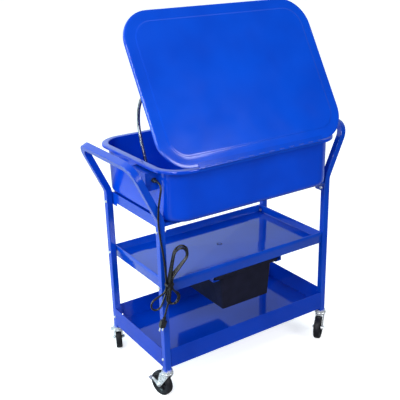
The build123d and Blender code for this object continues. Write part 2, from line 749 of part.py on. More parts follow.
def build_caster(corner, sx, sy):
    """Fork, wheel, axle bolt and brake lever of one swivel caster."""
    turn = radians(caster_turn[corner])
    swivel = Plane(origin=(sx * post_x, sy * post_y, 0), x_dir=(cos(turn), sin(turn), 0), z_dir=(0, 0, 1))

    def across(offset_y):
        """Plane at a distance along the axle: local x is the trail, local y is up."""
        return Plane(origin=swivel.from_local_coords((0, offset_y, 0)), x_dir=swivel.x_dir,
                     z_dir=-swivel.y_dir)

    hub = (trail, wheel_radius)
    with BuildPart() as fork:
        with BuildSketch(swivel.offset(crown_top_z - 4.0)):
            Circle(crown_radius)
        extrude(amount=4.0)
        with BuildSketch(swivel.offset(99.0)):
            Circle(crown_radius - 4.0)
        extrude(amount=crown_top_z - 99.0)
        with BuildSketch(swivel.offset(99.0)):
            with Locations((6.0, 0)):
                Rectangle(34.0, 2 * (leg_inner + leg_sheet))
        extrude(amount=2.5)
        for side in (1, -1):
            start = side * leg_inner
            with BuildSketch(across(start)):
                with Locations((-9.0, 98.0), (21.0, 98.0)):
                    Circle(3.5)
                with Locations(hub):
                    Circle(10.0)
                make_hull()
                with Locations(hub):
                    Circle(axle_radius + 0.05, mode=Mode.SUBTRACT)
            extrude(amount=-side * leg_sheet)
        with BuildSketch(swivel.offset(90.0)):
            Circle(stem_radius + 0.06)
        extrude(amount=30.0, mode=Mode.SUBTRACT)
    save(fork, "caster_fork_" + corner)

    half = wheel_width / 2
    with BuildPart() as wheel:
        with BuildSketch(across(-half)):
            with Locations(hub):
                Circle(wheel_radius)
        extrude(amount=-wheel_width)
        fillet(wheel.edges(), radius=6.0)
        for side in (1, -1):
            with BuildSketch(across(side * half)):
                with Locations(hub):
                    Circle(32.0)
                    Circle(14.0, mode=Mode.SUBTRACT)
            extrude(amount=side * 4.0, mode=Mode.SUBTRACT)
        with BuildSketch(across(-half - 1)):
            with Locations(hub):
                Circle(axle_radius + 0.06)
        extrude(amount=-wheel_width - 2, mode=Mode.SUBTRACT)
    save(wheel, "caster_wheel_" + corner)

    reach = leg_inner + leg_sheet + 3.4
    with BuildPart() as axle:
        with BuildSketch(across(-reach)):
            with Locations(hub):
                Circle(axle_radius)
        extrude(amount=-2 * reach)
        for side in (1, -1):
            with BuildSketch(across(side * reach)):
                with Locations(hub):
                    RegularPolygon(radius=6.5, side_count=6, major_radius=False)
            extrude(amount=-side * 5.0)
    save(axle, "caster_axle_" + corner)

    with BuildPart() as brake:
        lever = leg_inner + leg_sheet + fit_gap
        with BuildSketch(across(lever)):
            with Locations(hub):
                Circle(9.5)
            with Locations((trail + 27.0, wheel_radius + 15.0)):
                Circle(6.0)
            make_hull()
            with Locations(hub):
                Circle(axle_radius + 0.06, mode=Mode.SUBTRACT)
        extrude(amount=-2.5)
        with BuildSketch(across(lever)):
            with Locations((trail + 33.0, wheel_radius + 19.0)):
                Rectangle(16.0, 3.0, rotation=29)
        extrude(amount=-14.0)
    save(brake, "brake_lever_" + corner)


for corner, (sx, sy) in corners.items():
    build_caster(corner, sx, sy)

print("cord shown", round(drop_length + tail_length, 1), "mm outside the hank")
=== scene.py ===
from math import atan2, cos, pi, radians, sin

import bmesh
import bpy
from mathutils import Matrix, Vector


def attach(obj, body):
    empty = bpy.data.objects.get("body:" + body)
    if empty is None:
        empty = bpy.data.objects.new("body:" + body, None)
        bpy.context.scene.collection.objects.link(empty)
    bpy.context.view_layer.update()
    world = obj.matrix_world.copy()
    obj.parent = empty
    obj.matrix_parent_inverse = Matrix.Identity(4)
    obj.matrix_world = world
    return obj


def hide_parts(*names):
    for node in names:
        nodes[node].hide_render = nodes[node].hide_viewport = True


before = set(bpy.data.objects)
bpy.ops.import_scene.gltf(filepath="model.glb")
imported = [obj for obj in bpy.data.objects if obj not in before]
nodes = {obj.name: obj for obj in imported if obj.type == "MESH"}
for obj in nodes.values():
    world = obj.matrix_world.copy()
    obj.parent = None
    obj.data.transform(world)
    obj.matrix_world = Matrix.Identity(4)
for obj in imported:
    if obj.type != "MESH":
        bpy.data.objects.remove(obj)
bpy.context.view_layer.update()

scene = bpy.context.scene
MM = 0.001


# ================================================================= materials
def material(name, color, roughness, metallic=0.0, coat=0.0, specular=0.5):
    m = bpy.data.materials.new(name)
    m.use_nodes = True
    shader = m.node_tree.nodes["Principled BSDF"]
    shader.inputs["Base Color"].default_value = (*color, 1)
    shader.inputs["Roughness"].default_value = roughness
    shader.inputs["Metallic"].default_value = metallic
    shader.inputs["Coat Weight"].default_value = coat
    shader.inputs["Coat Roughness"].default_value = 0.06
    shader.inputs["Specular IOR Level"].default_value = specular
    return m


def add(m, kind, **values):
    """A node in the material's tree, with inputs and properties by name."""
    node = m.node_tree.nodes.new("ShaderNode" + kind)
    for key, value in values.items():
        words = key.replace("_", " ")
        if words in node.inputs:
            node.inputs[words].default_value = value
        else:
            setattr(node, key, value)
    return node


def link(m, source, target):
    m.node_tree.links.new(source, target)


def noise_fac(m, scale, detail=3.0, stretch=(1, 1, 1)):
    """Noise over the piece's own coordinates, in metres."""
    coords = add(m, "TexCoord")
    mapping = add(m, "Mapping")
    mapping.inputs["Scale"].default_value = stretch
    texture = add(m, "TexNoise", Scale=scale, Detail=detail)
    link(m, coords.outputs["Object"], mapping.inputs["Vector"])
    link(m, mapping.outputs["Vector"], texture.inputs["Vector"])
    return texture.outputs["Fac"]


def vary_color(m, low, high, scale, detail=3.0, stretch=(1, 1, 1), sharp=(0.3, 0.7)):
    ramp = add(m, "ValToRGB")
    ramp.color_ramp.elements[0].position = sharp[0]
    ramp.color_ramp.elements[0].color = (*low, 1)
    ramp.color_ramp.elements[1].position = sharp[1]
    ramp.color_ramp.elements[1].color = (*high, 1)
    link(m, noise_fac(m, scale, detail, stretch), ramp.inputs["Fac"])
    shader = m.node_tree.nodes["Principled BSDF"]
    link(m, ramp.outputs["Color"], shader.inputs["Base Color"])


def vary_roughness(m, low, high, scale, detail=3.0, stretch=(1, 1, 1)):
    spread = add(m, "MapRange")
    spread.inputs["From Min"].default_value = 0.3
    spread.inputs["From Max"].default_value = 0.7
    spread.inputs["To Min"].default_value = low
    spread.inputs["To Max"].default_value = high
    link(m, noise_fac(m, scale, detail, stretch), spread.inputs["Value"])
    shader = m.node_tree.nodes["Principled BSDF"]
    link(m, spread.outputs["Result"], shader.inputs["Roughness"])


def bumps(m, *layers):
    """Stacked bump layers: (scale, detail, strength, distance in metres, stretch)."""
    shader = m.node_tree.nodes["Principled BSDF"]
    before = None
    for scale, detail, strength, distance, stretch in layers:
        bump = add(m, "Bump", Strength=strength, Distance=distance)
        link(m, noise_fac(m, scale, detail, stretch), bump.inputs["Height"])
        if before:
            link(m, before.outputs["Normal"], bump.inputs["Normal"])
        before = bump
    link(m, before.outputs["Normal"], shader.inputs["Normal"])


even = (1, 1, 1)


def enamel(name, low, high, gloss, wave, coat=0.25, specular=0.5):
    """Baked enamel on pressed sheet: orange peel, and long shallow waves (metres) in the sheet."""
    m = material(name, high, gloss, coat=coat, specular=specular)
    vary_color(m, low, high, 5.0, 2.0)
    vary_roughness(m, 0.75 * gloss, 1.35 * gloss, 9.0, 3.0)
    bumps(m, (2.6, 0.0, 1.0, wave, even), (650.0, 1.0, 0.06, 0.0002, even))
    return m


blue = enamel("blue_enamel", (0.0004, 0.056, 0.56), (0.0006, 0.074, 0.67), 0.16, 0.0007)
blue_sheet = enamel("blue_sheet", (0.0004, 0.050, 0.48), (0.0006, 0.066, 0.58), 0.08, 0.0005)
# lower tray: the shelf's blue enamel with no coat and lower specular, and a darker base colour that is
# painted shade from the middle shelf above it
blue_tray_shaded = enamel("blue_tray_shaded", (0.0004, 0.036, 0.42), (0.0006, 0.048, 0.52), 0.07, 0.0005, 0.0, 0.30)
blue_tube = enamel("blue_tube", (0.0004, 0.050, 0.50), (0.0006, 0.064, 0.60), 0.16, 0.0003)
blue_tub = enamel("blue_tub", (0.0003, 0.050, 0.57), (0.0005, 0.066, 0.70), 0.14, 0.0012)

zinc = material("zinc_plate", (0.80, 0.82, 0.84), 0.30, metallic=0.55)
vary_color(zinc, (0.62, 0.65, 0.68), (0.90, 0.92, 0.94), 60.0, 4.0)
vary_roughness(zinc, 0.18, 0.42, 140.0, 3.0)
bumps(zinc, (900.0, 2.0, 0.25, 0.0002, even))

tread = material("wheel_rubber", (0.008, 0.008, 0.011), 0.5, specular=0.3)
vary_color(tread, (0.005, 0.005, 0.008), (0.013, 0.013, 0.018), 70.0, 4.0)
vary_roughness(tread, 0.38, 0.62, 200.0)
bumps(tread, (1400.0, 2.0, 0.3, 0.0003, even))

hub_plastic = material("wheel_hub", (0.008, 0.008, 0.011), 0.38, specular=0.35)
vary_roughness(hub_plastic, 0.28, 0.45, 120.0)
bumps(hub_plastic, (1100.0, 2.0, 0.15, 0.0002, even))

bin_black = material("bin_plastic", (0.011, 0.013, 0.030), 0.50, specular=0.12)
vary_color(bin_black, (0.008, 0.009, 0.022), (0.012, 0.013, 0.032), 30.0, 3.0)
vary_roughness(bin_black, 0.40, 0.55, 60.0)
bumps(bin_black, (1500.0, 3.0, 0.45, 0.0004, even))

black_plastic = material("black_plastic", (0.012, 0.012, 0.014), 0.30)
vary_roughness(black_plastic, 0.22, 0.38, 90.0)
bumps(black_plastic, (1800.0, 2.0, 0.2, 0.0002, even))

vinyl = material("cord_vinyl", (0.008, 0.008, 0.009), 0.30, coat=0.25)
vary_color(vinyl, (0.006, 0.006, 0.007), (0.012, 0.012, 0.014), 50.0)
vary_roughness(vinyl, 0.24, 0.36, 160.0)
bumps(vinyl, (900.0, 2.0, 0.15, 0.0003, even))

hose_metal = material("hose_metal", (0.35, 0.36, 0.38), 0.22, metallic=1.0)
vary_color(hose_metal, (0.20, 0.20, 0.22), (0.48, 0.49, 0.52), 120.0)
vary_roughness(hose_metal, 0.16, 0.30, 200.0)

blade_metal = material("blade_nickel", (0.82, 0.82, 0.80), 0.25, metallic=0.6)
vary_color(blade_metal, (0.70, 0.70, 0.68), (0.88, 0.88, 0.86), 90.0, 3.0)
vary_roughness(blade_metal, 0.2, 0.34, 220.0, 3.0, (1, 1, 0.1))

rocker_black = material("rocker", (0.02, 0.02, 0.02), 0.25)
vary_roughness(rocker_black, 0.2, 0.3, 100.0)

dark_joint = material("dark_joint", (0.001, 0.006, 0.05), 0.6)
vary_roughness(dark_joint, 0.5, 0.7, 100.0)


def coat_node(name, m):
    """A CAD node keeps its shape and takes this material."""
    mesh = nodes[name].data
    mesh.materials.clear()
    mesh.materials.append(m)
    for polygon in mesh.polygons:
        polygon.material_index = 0


def bevelled(obj, width, angle=35.0):
    """Breaks the folds sharper than an angle in degrees with a small bevel."""
    bevel = obj.modifiers.new("edge", "BEVEL")
    bevel.width = width
    bevel.segments = 2
    bevel.limit_method = "ANGLE"
    bevel.angle_limit = radians(angle)
    bevel.harden_normals = True


def soften(name, m, width=0.0006):
    """A CAD node in a material, with its sharp folds broken by a small bevel."""
    coat_node(name, m)
    bevelled(nodes[name], width, 50.0)


# ================================================================= mesh helpers
def build(name, verts, faces, m, body, smooth=38.0, replaced=()):
    """A piece on a body, smooth where its faces meet at less than an angle in degrees."""
    mesh = bpy.data.meshes.new(name)
    mesh.from_pydata([tuple(v) for v in verts], [], faces)
    work = bmesh.new()
    work.from_mesh(mesh)
    bmesh.ops.remove_doubles(work, verts=work.verts, dist=1e-6)
    bmesh.ops.recalc_face_normals(work, faces=work.faces)
    for edge in work.edges:
        if len(edge.link_faces) == 2:
            edge.smooth = edge.calc_face_angle(0.0) < radians(smooth)
    for face in work.faces:
        face.smooth = True
    work.to_mesh(mesh)
    work.free()
    mesh.materials.append(m)
    obj = bpy.data.objects.new(name, mesh)
    scene.collection.objects.link(obj)
    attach(obj, body)
    if replaced:
        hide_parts(*replaced)
    return obj


def rounded(hx, hy, r, n=12):
    """Points round a rectangle with rounded corners, anticlockwise, n steps per corner."""
    r = max(min(r, hx, hy), 0.00005)
    points = []
    for cx, cy, start in ((1, 1, 0), (-1, 1, 90), (-1, -1, 180), (1, -1, 270)):
        for i in range(n + 1):
            a = radians(start + 90 * i / n)
            points.append((cx * (hx - r) + r * cos(a), cy * (hy - r) + r * sin(a)))
    return points


def loft(rings, close_start=False, close_end=False, loop=False):
    """Quads between rings of equal length."""
    verts = [p for ring in rings for p in ring]
    n = len(rings[0])
    faces = []
    count = len(rings) if loop else len(rings) - 1
    for k in range(count):
        a, b = k * n, ((k + 1) % len(rings)) * n
        for i in range(n):
            j = (i + 1) % n
            faces.append((a + i, a + j, b + j, b + i))
    if close_start:
        faces.append(tuple(reversed(range(n))))
    if close_end:
        start = (len(rings) - 1) * n
        faces.append(tuple(range(start, start + n)))
    return verts, faces


def arc(cx, cz, r, a0, a1, n=6):
    """Points (x, z) on an arc, degrees."""
    return [(cx + r * cos(radians(a0 + (a1 - a0) * i / n)),
             cz + r * sin(radians(a0 + (a1 - a0) * i / n))) for i in range(n + 1)]


def lathe(profile, place, n=40):
    """Rings about the local z of a placing matrix; profile is (radius, height) in metres."""
    rings = []
    for r, z in profile:
        rings.append([place @ Vector((r * cos(2 * pi * i / n), r * sin(2 * pi * i / n), z))
                      for i in range(n)])
    return rings


def merge(*parts):
    """Joins (verts, faces) pairs into one."""
    verts, faces = [], []
    for v, f in parts:
        base = len(verts)
        verts += list(v)
        faces += [tuple(i + base for i in face) for face in f]
    return verts, faces


def plate(outline, thick, place, holes=()):
    """A flat plate from a closed outline of (x, y), thick along the placing matrix's z."""
    work = bmesh.new()
    loops = [outline, *holes]
    edges = []
    for loop in loops:
        ring = [work.verts.new((x, y, 0)) for x, y in loop]
        for i in range(len(ring)):
            edges.append(work.edges.new((ring[i], ring[(i + 1) % len(ring)])))
    bmesh.ops.triangle_fill(work, use_beauty=True, use_dissolve=False, edges=edges)
    if not holes:
        bmesh.ops.dissolve_limit(work, angle_limit=0.01, verts=work.verts, edges=work.edges)
    faces = list(work.faces)
    made = bmesh.ops.extrude_face_region(work, geom=faces)
    bmesh.ops.translate(work, vec=(0, 0, thick),
                        verts=[v for v in made["geom"] if isinstance(v, bmesh.types.BMVert)])
    bmesh.ops.recalc_face_normals(work, faces=work.faces)
    work.verts.index_update()
    verts = [place @ v.co for v in work.verts]
    faces = [tuple(v.index for v in f.verts) for f in work.faces]
    work.free()
    return verts, faces


def tangent_hull(circles, n=40):
    """Outline round a set of (x, y, r) circles."""
    cloud = []
    for x, y, r in circles:
        for i in range(n):
            a = 2 * pi * i / n
            cloud.append((x + r * cos(a), y + r * sin(a)))
    cloud = sorted(set(cloud))

    def half(points):
        out = []
        for p in points:
            while len(out) > 1 and ((out[-1][0] - out[-2][0]) * (p[1] - out[-2][1])
                                    - (out[-1][1] - out[-2][1]) * (p[0] - out[-2][0])) <= 0:
                out.pop()
            out.append(p)
        return out

    low, high = half(cloud), half(cloud[::-1])
    return low[:-1] + high[:-1]


def circle(x, y, r, n=24):
    return [(x + r * cos(2 * pi * i / n), y + r * sin(2 * pi * i / n)) for i in range(n)]


def axes(origin, x, z):
    """Placing matrix with local x and z along the given directions."""
    z = Vector(z).normalized()
    x = Vector(x)
    x = (x - x.dot(z) * z).normalized()
    y = z.cross(x)
    return Matrix.Translation(origin) @ Matrix((x, y, z)).transposed().to_4x4()


# ================================================================= camera, floor and light
forward = Vector((-0.51351, -0.78362, -0.34963)).normalized()
up = Vector((-0.21420, -0.27750, 0.93654))
right = forward.cross(up).normalized()
up = right.cross(forward)
camera_data = bpy.data.cameras.new("camera")
camera_data.sensor_width = 36.0
camera_data.lens = 62.68
camera = bpy.data.objects.new("camera", camera_data)
camera.matrix_world = Matrix.Translation((1.4533, 2.0849, 1.5856)) @ Matrix(
    (right, up, -forward)).transposed().to_4x4()
scene.collection.objects.link(camera)
scene.camera = camera
scene.view_settings.view_transform = "Standard"

FLOOR_HALF = 60.0
floor_mesh = bpy.data.meshes.new("floor")
floor_mesh.from_pydata([(-FLOOR_HALF, -FLOOR_HALF, 0), (FLOOR_HALF, -FLOOR_HALF, 0),
                        (FLOOR_HALF, FLOOR_HALF, 0), (-FLOOR_HALF, FLOOR_HALF, 0)], [], [(0, 1, 2, 3)])
paper = material("floor_pale", (0.93, 0.93, 0.93), 0.9)
paper_shader = paper.node_tree.nodes["Principled BSDF"]
paper_shader.inputs["Emission Color"].default_value = (1, 1, 1, 1)
paper_shader.inputs["Emission Strength"].default_value = 0.60
# what the object sees of the floor: pale behind it, and unlit towards the front of the studio
unlit = add(paper, "BsdfDiffuse")
place = add(paper, "TexCoord")
place_split = add(paper, "SeparateXYZ")
fall = add(paper, "MapRange")
for socket, value in (("From Min", -0.6), ("From Max", 0.9), ("To Min", 0.75), ("To Max", 0.06)):
    fall.inputs[socket].default_value = value
link(paper, place.outputs["Object"], place_split.inputs["Vector"])
link(paper, place_split.outputs["Y"], fall.inputs["Value"])
link(paper, fall.outputs["Result"], unlit.inputs["Color"])
seen_ray = add(paper, "LightPath")
either = add(paper, "MixShader")
link(paper, seen_ray.outputs["Is Camera Ray"], either.inputs[0])
link(paper, unlit.outputs[0], either.inputs[1])
link(paper, paper_shader.outputs[0], either.inputs[2])
link(paper, either.outputs[0], paper.node_tree.nodes["Material Output"].inputs["Surface"])
floor_mesh.materials.append(paper)
floor = bpy.data.objects.new("floor", floor_mesh)
scene.collection.objects.link(floor)

# studio walls: pale behind the object, brightest beyond its right, and unlit in front of it
world = bpy.data.worlds.new("studio")
scene.world = world
world.use_nodes = True
tree = world.node_tree
background = tree.nodes["Background"]
background.inputs["Color"].default_value = (0.76, 0.92, 1.0, 1)
direction = tree.nodes.new("ShaderNodeTexCoord")
split = tree.nodes.new("ShaderNodeSeparateXYZ")
tree.links.new(direction.outputs["Generated"], split.inputs["Vector"])


def world_range(axis, start, end, low, high):
    node = tree.nodes.new("ShaderNodeMapRange")
    node.inputs["From Min"].default_value = start
    node.inputs["From Max"].default_value = end
    node.inputs["To Min"].default_value = low
    node.inputs["To Max"].default_value = high
    tree.links.new(split.outputs[axis], node.inputs["Value"])
    return node.outputs["Result"]


strength = tree.nodes.new("ShaderNodeMath")
strength.operation = "MULTIPLY"
tree.links.new(world_range("Y", -0.35, 0.35, 1.0, 0.11), strength.inputs[0])
tree.links.new(world_range("X", -0.68, -0.40, 0.42, 1.15), strength.inputs[1])
tree.links.new(strength.outputs[0], background.inputs["Strength"])
backdrop = tree.nodes.new("ShaderNodeBackground")
backdrop.inputs["Color"].default_value = (1, 1, 1, 1)
backdrop.inputs["Strength"].default_value = 1.0
ray_kind = tree.nodes.new("ShaderNodeLightPath")
choice = tree.nodes.new("ShaderNodeMixShader")
tree.links.new(ray_kind.outputs["Is Camera Ray"], choice.inputs[0])
tree.links.new(background.outputs[0], choice.inputs[1])
tree.links.new(backdrop.outputs[0], choice.inputs[2])
tree.links.new(choice.outputs[0], tree.nodes["World Output"].inputs["Surface"])


def softbox(name, place, target, width, height, power, color=(1, 1, 1)):
    data = bpy.data.lights.new(name, "AREA")
    data.shape = "RECTANGLE"
    data.size = width
    data.size_y = height
    data.energy = power
    data.color = color
    obj = bpy.data.objects.new(name, data)
    aim = (Vector(target) - Vector(place)).normalized()
    obj.matrix_world = Matrix.Translation(place) @ aim.to_track_quat("-Z", "Y").to_matrix().to_4x4()
    scene.collection.objects.link(obj)
    return obj


softbox("key_light", (2.6, 1.6, 2.9), (0, 0, 0.8), 1.6, 1.6, 78)
softbox("front_light", (-1.2, 3.6, 2.2), (0, 0, 0.8), 1.8, 1.8, 84)
softbox("side_light", (2.5, -0.9, 1.0), (0.37, 0, 0.6), 1.0, 1.0, 27, (0.6, 0.95, 1.0))
softbox("corner_light", (1.9, 1.7, 1.05), (0.3, 0.25, 0.8), 0.6, 0.6, 12)

# ================================================================= wash tub
TUB = dict(hx=365 * MM, hy=252 * MM, r=85 * MM)


def tub_ring(o, z, n=14):
    """The tub's outline let out by o millimetres, at height z in millimetres."""
    return [(x, y, z * MM) for x, y in
            rounded(TUB["hx"] + o * MM, TUB["hy"] + o * MM, TUB["r"] + o * MM, n)]


def toward_circle(ring, radius, share, z):
    """Ring part-way to a circle round the middle."""
    made = []
    for x, y, _ in ring:
        a = atan2(y, x)
        made.append((x + (radius * cos(a) - x) * share, y + (radius * sin(a) - y) * share, z * MM))
    return made


inner = [(22.6, 876.6), (23.8, 876.4)]
inner += [(23.9, 880.0)] + arc(19.9, 882.2, 4.0, 0, 90, 6)
inner += [(14, 886.3), (8, 886.3)] + arc(2.2, 882.7, 3.6, 90, 180, 6)
inner += [(-1.6, 870), (-1.9, 840), (-2.4, 800), (-2.8, 760), (-3.1, 725)]
inner += arc(-24.5, 716.0, 21.3, 0, -90, 9)
under = arc(-24.3, 716.4, 23.0, -90, 0, 9)
under = [(o, max(z, 693.2)) for o, z in under]
outer = [(-1.3, 725), (-1.0, 760), (-0.7, 800), (-0.4, 840), (-0.1, 872), (1.2, 884.6), (22.4, 884.6)]
rings = [tub_ring(o, z) for o, z in inner]
floor_edge = rings[-1]
rings += [toward_circle(floor_edge, 0.019, s, 694.7 - 0.1 * s) for s in (0.12, 0.3, 0.55, 0.8, 1.0)]
rings += [toward_circle(floor_edge, 0.0125, 1.0, 694.4), toward_circle(floor_edge, 0.0125, 1.0, 693.1)]
low_edge = tub_ring(*under[0])
rings += [toward_circle(low_edge, 0.022, s, 693.1) for s in (1.0, 0.6, 0.2)]
rings += [tub_ring(o, z) for o, z in under + outer]
verts, faces = loft(rings, loop=True)
build("tub_shell", verts, faces, blue_tub, "frame", 60, ["wash_tub"])

# ================================================================= lid
HINGE = Vector((0, 280.5, 889.0)) * MM
lid_x = Vector((1, 0, 0))
lid_z = Vector((0, sin(radians(60)), cos(radians(60))))
lid_y = lid_z.cross(lid_x)
lid_place = Matrix.Translation(HINGE) @ Matrix((lid_x, lid_y, lid_z)).transposed().to_4x4()
LID_X, LID_Y, LID_CORNER = 395, 277.75, 112
LID_MID = -282.25


def lid_ring(o, z, n=16):
    """The lid's outline let out by o millimetres, at z in the lid's own frame."""
    flat = rounded((LID_X + o) * MM, (LID_Y + o) * MM, (LID_CORNER + o) * MM, n)
    return [lid_place @ Vector((x, y + LID_MID * MM, z * MM)) for x, y in flat]


def hem_ring(o, z, n=16):
    """Like lid_ring, but the hem dies away towards the hinge, where the lid lies on its leaf."""
    ring = []
    for x, y in rounded((LID_X + o) * MM, (LID_Y + o) * MM, (LID_CORNER + o) * MM, n):
        local_y = y + LID_MID * MM
        share = min(max((-0.03 - local_y) / 0.06, 0.0), 1.0)
        depth = 0.6 + (z - 0.6) * share if z < 0.6 else z
        ring.append(lid_place @ Vector((x, local_y, depth * MM)))
    return ring


panel = [(-46.5, 3.9), (-43.5, 3.85), (-42, 3.55), (-40.6, 2.85), (-39.2, 2.25), (-37.5, 2.1)]
skin = [(-26, 2.1), (-12, 2.1), (-5, 2.05), (-2.6, 1.6), (-1.0, 0.3), (-0.3, -1.4), (-0.1, -3.4)]
lid_rings = [lid_ring(o, z) for o, z in panel + skin[:4]]
lid_rings += [hem_ring(o, z) for o, z in skin[4:]]
lid_rings += [hem_ring(-0.1, -9.6), hem_ring(-0.6, -10.9), hem_ring(-1.6, -10.8),
              hem_ring(-2.0, -9.6)]
lid_rings += [hem_ring(-2.0, -3.0), hem_ring(-3.0, 0.2), lid_ring(-6, 0.95), lid_ring(-37, 0.95)]
lid_rings += [lid_ring(-40.5, 1.5), lid_ring(-42.6, 2.5), lid_ring(-46.5, 2.7)]
verts, faces = loft(lid_rings, close_start=True, close_end=True)
build("lid_pan", verts, faces, blue, "lid", 45, ["lid"])

# ================================================================= middle shelf
SHELF_X, SHELF_Y = 364.7, 200.0
SHELF_FLOOR, SHELF_RISE = 442.4, 6.4
DRAIN_RADIUS = 6.2


def shelf_ring(o, z, r=2.0, n=4):
    """The shelf's outline let out by o millimetres, at height z in millimetres."""
    return [(x, y, z * MM) for x, y in rounded((SHELF_X + o) * MM, (SHELF_Y + o) * MM, r * MM, n)]


profile = [(-3.0, 428.3), (-1.9, 428.1), (-1.6, 428.8), (-1.6, 455.0), (-1.3, 455.7), (-0.3, 456.1),
           (0.0, 456.9), (0.0, 472.4), (-0.6, 474.0), (-2.2, 474.4), (-3.8, 474.0), (-4.4, 472.6),
           (-4.6, 446.5)]
profile += arc(-8.6, 446.4, 4.0, 0, -90, 5)[1:]
rings = [shelf_ring(o, z, 2.5) for o, z in profile]
edge = rings[-1]


def floor_level(share):
    """Height of the cross-broken floor, from its edges (0) to the middle (1)."""
    return SHELF_FLOOR + SHELF_RISE * share


def drain_ring(z):
    return [(DRAIN_RADIUS * MM * cos(atan2(y, x)), DRAIN_RADIUS * MM * sin(atan2(y, x)), z * MM)
            for x, y, _ in edge]


def inset_ring(share, z):
    return [(x * (1 - share), y * (1 - share), z * MM) for x, y, _ in edge]


under_floor = 441.0
rings += [inset_ring(share, floor_level(share)) for share in (0.15, 0.35, 0.6, 0.8, 0.93)]
rings += [drain_ring(floor_level(0.97)), drain_ring(under_floor)]
rings += [inset_ring(0.7, under_floor), inset_ring(0.01, under_floor),
          shelf_ring(-3.0, under_floor, 1.5)]
verts, faces = loft(rings, loop=True)
build("shelf_pan", verts, faces, blue_sheet, "frame", 30, ["middle_shelf"])

drain_low, drain_high = floor_level(0.97), floor_level(1.0)
washer_low, washer_high = drain_low - 0.8, drain_high + 0.3
washer = [(7.4, washer_low), (7.4, washer_high), (8.0, washer_high + 0.5), (9.6, washer_high + 0.5),
          (10.4, washer_high), (10.4, washer_low)]
verts, faces = loft(lathe([(r * MM, z * MM) for r, z in washer], Matrix.Identity(4), 40), loop=True)
build("shelf_grommet", verts, faces, dark_joint, "frame", 40)
disc = [(0.01, drain_high - 0.2), (6.6, drain_high - 0.2), (6.9, drain_high - 0.5),
        (6.9, drain_low - 1.5), (0.01, drain_low - 1.5)]
verts, faces = loft(lathe([(r * MM, z * MM) for r, z in disc], Matrix.Identity(4), 40), loop=True)
build("shelf_drain_cap", verts, faces, blue_sheet, "frame", 40)

# ================================================================= lower tray, rails, tubes
for name in nodes:
    if name.startswith(("lower_post", "upper_post", "handle")):
        coat_node(name, blue_tube)
    elif name.startswith("tub_rail") or name.startswith("bin_rail"):
        soften(name, blue_tube, 0.0005)
for name in ("hinge_tub_leaf", "hinge_lid_leaf"):
    coat_node(name, blue_tube)
# the tray's enamel has a darker base colour, painted shade from the shelf above
soften("lower_tray", blue_tray_shaded, 0.0006)
for name in ("post_couplers", "hinge_pin", "lid_stay_catch", "lid_stay_bracket", "lid_stay_arm",
             "caster_stems"):
    coat_node(name, zinc)
soften("frame_bolts", zinc, 0.0004)
soften("drain_plug", zinc, 0.0006)
soften("pump", black_plastic, 0.0015)
soften("spigot_base", black_plastic, 0.0006)
soften("spigot_nozzle", black_plastic, 0.0006)
soften("switch_box", blue_tube, 0.0012)
soften("switch_box_cover", blue_tube, 0.0008)
soften("power_switch", rocker_black, 0.0008)
soften("cord_gland", black_plastic, 0.0006)
soften("cord_tie", black_plastic, 0.0006)
soften("mains_plug", vinyl, 0.0018)
soften("plug_blades", blade_metal, 0.0003)
coat_node("spigot_hose", hose_metal)

# ================================================================= storage bin
def bin_ring(width, depth, r, z, n=8):
    """Rounded rectangle in millimetres, about the middle."""
    return [(x, y, z * MM) for x, y in rounded(width / 2 * MM, depth / 2 * MM, r * MM, n)]


RIM_W, RIM_D, RIM_Z, RIM_TALL = 312.0, 374.0, 405.0, 13.0
WALL_W, WALL_D, FOOT_W, FOOT_D, FOOT_Z = 238.0, 360.0, 218.0, 344.0, 266.0


def bin_wall(z, inset, r):
    """Ring on the bin's tapering wall."""
    share = (z - FOOT_Z) / (RIM_Z - FOOT_Z)
    return bin_ring(FOOT_W + (WALL_W - FOOT_W) * share - 2 * inset,
                    FOOT_D + (WALL_D - FOOT_D) * share - 2 * inset, r + 3.0 * share, z)


rim_top = RIM_Z + RIM_TALL
def rim_ring(inset, r, z):
    return bin_ring(RIM_W - inset, RIM_D - inset, r, z)


rings = [rim_ring(6.0, 19, RIM_Z + 1.4), rim_ring(6.0, 19, rim_top - 1.0),
         rim_ring(4.6, 20, rim_top), rim_ring(1.6, 21, rim_top - 0.2),
         rim_ring(0.2, 22, rim_top - 1.4), rim_ring(0.2, 22, RIM_Z + 1.4),
         rim_ring(1.4, 21, RIM_Z + 0.2), bin_ring(WALL_W + 6, WALL_D + 3, 16, RIM_Z + 0.1),
         bin_ring(WALL_W + 1.6, WALL_D + 1.2, 13, RIM_Z - 0.8), bin_wall(RIM_Z - 4.0, 0.0, 8.0)]
rings += [bin_wall(z, 0.0, 8.0) for z in (380, 350, 320, 300, 280)]
rings += [bin_wall(FOOT_Z + 5.0, 0.0, 8.0), bin_wall(FOOT_Z + 1.8, 1.0, 8.0),
          bin_wall(FOOT_Z + 0.3, 3.4, 7.0), bin_ring(60, 120, 6, FOOT_Z + 0.1),
          bin_ring(60, 120, 6, FOOT_Z + 2.9), bin_wall(FOOT_Z + 2.9, 8.0, 5.0),
          bin_wall(FOOT_Z + 5.5, 4.0, 6.0), bin_wall(FOOT_Z + 10.0, 2.9, 6.0)]
rings += [bin_wall(z, 2.9, 6.0) for z in (320, 350, 380, 400)]
rings += [bin_ring(WALL_W - 3.8, WALL_D - 3.8, 11, RIM_Z + 1.0),
          bin_ring(WALL_W + 1.0, WALL_D - 1.0, 12, RIM_Z + 2.8),
          bin_ring(RIM_W - 9, RIM_D - 7.4, 18, RIM_Z + 2.8)]
verts, faces = loft(rings, loop=True)
build("bin_moulding", verts, faces, bin_black, "bin", 34, ["storage_bin"])

# ================================================================= casters
POST = (377.5, 193.5)
TRAIL, RADIUS = 31.0, 47.5
turns = {
    "rear_right": (1, 1, -77.0),
    "rear_left": (-1, 1, 35.0),
    "front_right": (1, -1, -115.0),
    "front_left": (-1, -1, -40.0),
}


